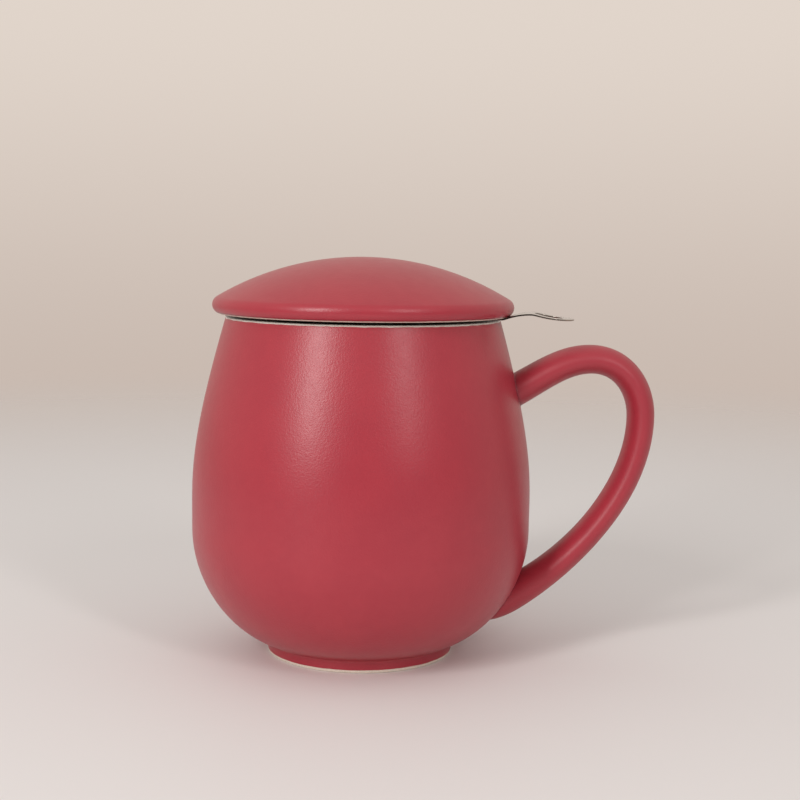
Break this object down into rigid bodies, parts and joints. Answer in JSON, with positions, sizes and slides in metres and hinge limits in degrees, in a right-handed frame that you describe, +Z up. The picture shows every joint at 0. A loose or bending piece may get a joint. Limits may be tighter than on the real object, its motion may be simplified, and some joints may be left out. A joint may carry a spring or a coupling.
{
  "type": "lidded tea mug with infuser",
  "caption": "Round-bellied glazed tea mug with an ear handle, a loose domed lid and a lift-out steel infuser basket whose rim carries a pull tab.",
  "frame": {"origin": "centre of the foot ring, on the plane that it rests on", "axes": "+Z up along the mug's axis, +X from the axis towards the handle, +Y to the mug's far side when the handle is on the right"},
  "size_m": [0.1238, 0.0908, 0.1064],
  "materials": {
    "red_glaze": "satin",
    "lid_glaze": "satin",
    "rim_steel": "polished",
    "sieve_steel": "satin"
  },
  "bodies": {
    "mug": {"mug_body": "red_glaze", "mug_handle": "red_glaze"},
    "infuser": {"infuser_rim": "rim_steel", "pull_tab": "rim_steel", "infuser_collar": "rim_steel", "infuser_sieve": "sieve_steel", "infuser_base": "sieve_steel", "base_ring": "rim_steel", "sieve_seam": "sieve_steel", "spot_welds": "rim_steel"},
    "lid": {"lid": "lid_glaze"}
  },
  "joints": [
    {"name": "infuser_lift", "type": "slide", "parent": "mug", "child": "infuser", "axis": [0, 0, 1], "range_m": [0, 0.08]},
    {"name": "lid_lift", "type": "slide", "parent": "infuser", "child": "lid", "axis": [0, 0, 1], "range_m": [0, 0.04]}
  ]
}
